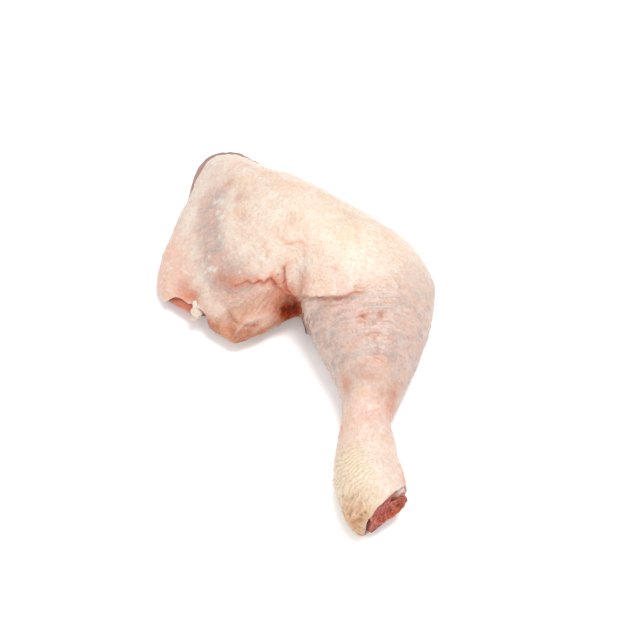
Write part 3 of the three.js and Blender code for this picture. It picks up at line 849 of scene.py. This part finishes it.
def make_shred(material):
    RINGS, SIDES = 60, 48
    HALF_ACROSS, HALF_UP = 2.3, 1.9
    LOBES = 2.4
    u = np.linspace(0, 1, RINGS + 2)[1:-1]
    centre = catmull_rom(SHRED_LINE, u)[:, None]
    angle = np.arange(SIDES) / SIDES * 2 * np.pi
    swell = (np.sin(np.pi * u) ** 0.45 * (1 + 0.18 * np.cos(LOBES * 2 * np.pi * u)))[:, None]
    across = HALF_ACROSS * swell * np.cos(angle)
    up = HALF_UP * swell * np.sin(angle)
    offset = np.stack([across, -up, np.zeros_like(up)], -1)
    point = centre + offset * (1 + 0.22 * fractal(centre + offset, 2.2, 111))[..., None]
    values = {"point": np.concatenate([point.reshape(-1, 3), SHRED_LINE[[0, -1]]])}
    return Surface(values, ring_triangles(RINGS, SIDES)).object("fat_shred_soft", material)


# ---- Materials ----

LIT = 0.54  # the share of a colour as seen under the studio's light that is the surface's own
MOIST = dict(Specular_IOR_Level=0.2, Coat_Weight=0.04, Coat_Roughness=0.2)  # bare flesh and bone


def seen(red, green, blue):
    """A surface colour from how it looks under the studio's light, 0..255."""
    linear = [((c / 255 + 0.055) / 1.055) ** 2.4 if c > 10 else c / 3294.6 for c in (red, green, blue)]
    return (*(LIT * c for c in linear), 1.0)


class Graph:
    """A short way to write a material's nodes."""

    def __init__(self, name):
        self.material = bpy.data.materials.new(name)
        self.material.use_nodes = True
        self.tree = self.material.node_tree
        self.shader = self.tree.nodes["Principled BSDF"]
        self.coordinates = self.tree.nodes.new("ShaderNodeTexCoord").outputs["Object"]

    def link(self, source, socket):
        if hasattr(source, "is_output"):
            self.tree.links.new(source, socket)
        else:
            socket.default_value = source

    def mask(self, name, strength=1.0):
        node = self.tree.nodes.new("ShaderNodeAttribute")
        node.attribute_name = name
        return self.times(node.outputs["Fac"], strength) if strength != 1 else node.outputs["Fac"]

    def noise(self, size_mm, detail=3.0, roughness=0.55, stretch=(1, 1, 1)):
        place = self.tree.nodes.new("ShaderNodeMapping")
        place.inputs["Scale"].default_value = stretch
        self.link(self.coordinates, place.inputs["Vector"])
        node = self.tree.nodes.new("ShaderNodeTexNoise")
        node.inputs["Scale"].default_value = 1 / (size_mm * MM)
        node.inputs["Detail"].default_value = detail
        node.inputs["Roughness"].default_value = roughness
        self.link(place.outputs["Vector"], node.inputs["Vector"])
        return node.outputs["Fac"]

    def cells(self, size_mm):
        node = self.tree.nodes.new("ShaderNodeTexVoronoi")
        node.inputs["Scale"].default_value = 1 / (size_mm * MM)
        self.link(self.coordinates, node.inputs["Vector"])
        return node.outputs["Distance"]

    def ramp(self, value, low, high, bottom=0.0, top=1.0):
        node = self.tree.nodes.new("ShaderNodeMapRange")
        node.interpolation_type = "SMOOTHSTEP"
        self.link(value, node.inputs["Value"])
        for name, number in (("From Min", low), ("From Max", high), ("To Min", bottom), ("To Max", top)):
            node.inputs[name].default_value = number
        return node.outputs["Result"]

    def times(self, a, b):
        node = self.tree.nodes.new("ShaderNodeMath")
        node.operation = "MULTIPLY"
        self.link(a, node.inputs[0])
        self.link(b, node.inputs[1])
        return node.outputs[0]

    def mix(self, share, a, b):
        node = self.tree.nodes.new("ShaderNodeMix")
        node.data_type = "RGBA"
        self.link(share, node.inputs["Factor"])
        self.link(a, node.inputs["A"])
        self.link(b, node.inputs["B"])
        return node.outputs["Result"]

    def bump(self, height, strength, distance_mm):
        node = self.tree.nodes.new("ShaderNodeBump")
        node.inputs["Strength"].default_value = strength
        node.inputs["Distance"].default_value = distance_mm * MM
        self.link(height, node.inputs["Height"])
        self.link(node.outputs["Normal"], self.shader.inputs["Normal"])

    def finish(self, **inputs):
        for name, value in inputs.items():
            self.link(value, self.shader.inputs[name.replace("_", " ")])
        return self.material


def skin_material():
    g = Graph("raw_skin")
    base = g.mix(g.ramp(g.noise(9), 0.35, 0.68), seen(253, 234, 216), seen(245, 214, 196))
    base = g.mix(g.mask("cream", 0.8), base, seen(253, 237, 211))
    base = g.mix(g.mask("pink", 0.9), base, seen(254, 205, 186))
    blotch = g.ramp(g.noise(13, 3, 0.6), 0.5, 0.66)
    base = g.mix(g.times(blotch, 0.45), base, seen(250, 212, 176))
    mottle = g.ramp(g.noise(3.2, 4, 0.65), 0.5, 0.7)
    base = g.mix(g.times(mottle, 0.3), base, seen(246, 198, 168))
    speckle = g.ramp(g.noise(1.3, 3, 0.6), 0.5, 0.64)
    base = g.mix(g.times(speckle, 0.22), base, seen(224, 160, 132))
    pale = g.ramp(g.noise(2.1, 3, 0.6), 0.5, 0.66)
    base = g.mix(g.times(pale, 0.42), base, seen(255, 248, 240))
    streaks = g.noise(6.5, 4, 0.6, stretch=(0.45, 1.5, 1))
    calf = g.mix(g.ramp(streaks, 0.42, 0.6), seen(186, 162, 158), seen(228, 178, 158))
    calf = g.mix(g.times(speckle, 0.6), calf, seen(200, 150, 130))
    grain = g.ramp(g.noise(0.75, 2, 0.6), 0.42, 0.62)
    calf = g.mix(g.times(grain, 0.25), calf, seen(246, 218, 204))
    base = g.mix(g.mask("mauve", 0.88), base, calf)
    base = g.mix(g.mask("wrinkle", 0.75), base, seen(240, 211, 199))
    base = g.mix(g.mask("yellow", 0.85), base, seen(255, 238, 206))
    # Orange tan of the skin, which on the lower loose skin and in the crook also paints shade.
    tan = g.mix(g.ramp(g.noise(6, 3, 0.5), 0.35, 0.65), seen(186, 102, 56), seen(226, 150, 106))
    tan = g.mix(g.times(speckle, 0.5), tan, seen(190, 112, 74))
    tan = g.mix(g.times(grain, 0.15), tan, seen(246, 200, 168))
    base = g.mix(g.mask("tan", 0.95), base, tan)
    ochre = g.mix(g.ramp(g.noise(3, 4, 0.6), 0.4, 0.64), seen(206, 138, 74), seen(240, 188, 130))
    base = g.mix(g.mask("ochre", 0.9), base, ochre)
    base = g.mix(g.mask("flush", 0.9), base, seen(240, 140, 98))
    base = g.mix(g.mask("fat", 0.85), base, seen(250, 240, 228))
    base = g.mix(g.mask("fold", 0.85), base, seen(216, 92, 48))
    # Dark red of blood, which in the crook also paints the shade there.
    blood = g.mix(g.ramp(g.noise(4.5, 3, 0.6), 0.38, 0.6), seen(116, 32, 0), seen(178, 64, 20))
    base = g.mix(g.mask("blood"), base, blood)
    base = g.mix(g.mask("olive"), base, seen(142, 108, 34))
    base = g.mix(g.mask("inside", 0.8), base, seen(250, 222, 204))
    g.bump(g.mix(0.45, g.noise(0.8, 3, 0.65), g.cells(1.3)), 0.9, 0.5)
    roughness = g.ramp(g.noise(4.5), 0.3, 0.7, 0.34, 0.5)
    shine = g.ramp(g.mask("blood"), 0.1, 0.7, 0.45, 0.08)
    coat = g.ramp(g.mask("blood"), 0.1, 0.7, 0.1, 0.0)
    return g.finish(Base_Color=base, Roughness=roughness, Subsurface_Weight=0.1, Subsurface_Scale=0.0007,
                    Subsurface_Radius=(1.0, 0.55, 0.4), Specular_IOR_Level=shine, Coat_Weight=coat,
                    Coat_Roughness=0.25)


def flesh_material():
    g = Graph("raw_flesh")
    strands = g.noise(5, 4, 0.6, stretch=(0.35, 1.6, 1))
    red = g.mix(g.ramp(strands, 0.35, 0.68), seen(184, 88, 72), seen(226, 148, 128))
    # Grey, as painted shade in the gap under the loose skin and as the flesh's grey along the back of the
    # thigh.
    red = g.mix(g.mask("grey_and_shade", 0.9), red, seen(188, 156, 148))
    red = g.mix(g.mask("window", 0.9), red, seen(236, 132, 100))
    cut = g.mix(g.ramp(g.noise(1.8, 4, 0.6), 0.4, 0.66), seen(164, 38, 22), seen(216, 92, 66))
    base = g.mix(g.mask("hock"), red, cut)
    base = g.mix(g.mask("gristle"), base, seen(252, 226, 214))
    sinew = g.ramp(g.noise(7, 5, 0.65, stretch=(0.3, 1.8, 1)), 0.62, 0.7)
    base = g.mix(g.times(sinew, 0.55), base, seen(240, 212, 196))
    g.bump(g.noise(1.1, 4, 0.6, stretch=(0.4, 1.4, 1)), 0.5, 0.35)
    roughness = g.ramp(g.noise(3), 0.3, 0.7, 0.26, 0.42)
    return g.finish(Base_Color=base, Roughness=roughness, **MOIST)


def bone_material():
    g = Graph("cut_bone")
    face = g.mix(g.ramp(g.noise(1.6, 4, 0.65), 0.4, 0.64), seen(176, 54, 30), seen(222, 122, 92))
    face = g.mix(g.mask("rim", 0.6), face, seen(234, 152, 124))
    face = g.mix(g.mask("marrow"), face, seen(86, 36, 26))
    g.bump(g.noise(0.8, 4, 0.65), 0.5, 0.3)
    return g.finish(Base_Color=face, Roughness=0.45, **MOIST)


def fat_material():
    g = Graph("white_fat")
    base = g.mix(g.ramp(g.noise(1.6, 3, 0.6), 0.4, 0.65), seen(250, 234, 214), seen(240, 204, 180))
    g.bump(g.noise(0.7, 3, 0.6), 0.4, 0.2)
    return g.finish(Base_Color=base, Roughness=0.4, Subsurface_Weight=0.25, Subsurface_Scale=0.0012,
                    Subsurface_Radius=(1.0, 0.6, 0.4), Coat_Weight=0.15, Coat_Roughness=0.2)


def dress(piece, node):
    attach(piece, "root")
    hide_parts(node)


# ---- Camera, floor and light ----

def make_camera():
    ELEVATION = math.radians(60)
    DISTANCE = 900 * MM
    FOCAL_PIXELS, PICTURE_PIXELS = 2000, 640
    AIM = (6.3, -7.1, 15.0)  # in millimetres from the crook
    OFF_MIDDLE = (-9, 22)  # in pixels, how far right of the picture's middle and below it the aim falls
    aim = (Vector(AIM) + Vector(CROOK)) * MM
    ahead = Vector((0, math.cos(ELEVATION), -math.sin(ELEVATION)))
    right = Vector((1, 0, 0))
    up = right.cross(ahead)
    data = bpy.data.cameras.new("camera")
    data.sensor_width = 36
    data.lens = FOCAL_PIXELS / PICTURE_PIXELS * data.sensor_width
    camera = bpy.data.objects.new("camera", data)
    bpy.context.scene.collection.objects.link(camera)
    camera.location = aim - ahead * DISTANCE
    axis = ahead - right * (OFF_MIDDLE[0] / FOCAL_PIXELS) + up * (OFF_MIDDLE[1] / FOCAL_PIXELS)
    camera.rotation_euler = axis.to_track_quat("-Z", "Y").to_euler()
    bpy.context.scene.camera = camera


def make_light(name, at, size, power):
    """A soft round light that points at the leg."""
    data = bpy.data.lights.new(name, "AREA")
    data.shape = "DISK"
    data.size = size
    data.energy = power
    light = bpy.data.objects.new(name, data)
    light.location = at
    light.rotation_euler = (-Vector(at)).to_track_quat("-Z", "Y").to_euler()
    bpy.context.scene.collection.objects.link(light)


def make_studio():
    HALF = 4.0  # of the floor's width
    SURROUNDING_LIGHT = 0.94
    material = Graph("pale_floor").finish(Base_Color=(0.93, 0.93, 0.93, 1), Roughness=0.6)
    mesh = bpy.data.meshes.new("floor")
    corners = [(-HALF, -HALF, 0), (HALF, -HALF, 0), (HALF, HALF, 0), (-HALF, HALF, 0)]
    mesh.from_pydata(corners, [], [(0, 1, 2, 3)])
    mesh.materials.append(material)
    floor = bpy.data.objects.new("floor", mesh)
    bpy.context.scene.collection.objects.link(floor)
    world = bpy.data.worlds.new("studio")
    world.use_nodes = True
    world.node_tree.nodes["Background"].inputs["Color"].default_value = (1, 1, 1, 1)
    world.node_tree.nodes["Background"].inputs["Strength"].default_value = SURROUNDING_LIGHT
    bpy.context.scene.world = world
    make_light("overhead", (0.25, 0.25, 1.1), 0.6, 12.1)
    make_light("front", (-0.35, -1.0, 0.6), 0.8, 5.5)
    bpy.context.scene.view_settings.view_transform = "Standard"


make_camera()
make_studio()
dress(make_skin(skin_material()), "skin")
dress(make_flesh(flesh_material()), "flesh")
dress(make_bone(bone_material()), "shin_bone")
dress(make_shred(fat_material()), "fat_shred")
